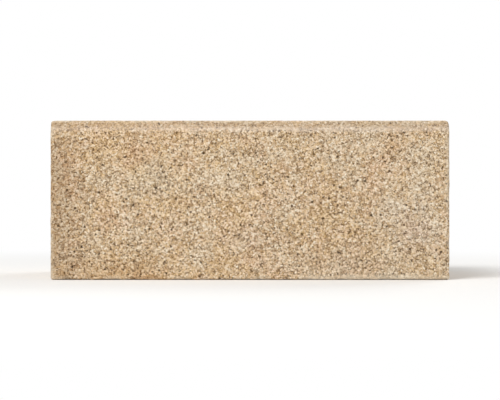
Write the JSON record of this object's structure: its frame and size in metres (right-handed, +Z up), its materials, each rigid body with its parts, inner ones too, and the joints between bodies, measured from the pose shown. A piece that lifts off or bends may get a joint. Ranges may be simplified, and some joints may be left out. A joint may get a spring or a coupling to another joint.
{
  "type": "wall block",
  "caption": "Solid rectangular concrete wall block for dry laying in courses, with flat beds and ends, bevelled top arrises and a sandy, granular show face.",
  "frame": {"origin": "middle of the bottom bed, on the surface that the block stands on", "axes": "+X along the wall, from end to end; -Y out of the show face; +Z up, from the bottom bed to the top bed"},
  "size_m": [0.4, 0.2, 0.16],
  "materials": {
    "sand_concrete": "matte"
  },
  "bodies": {
    "root": {"wall_block": "sand_concrete"}
  },
  "joints": []
}
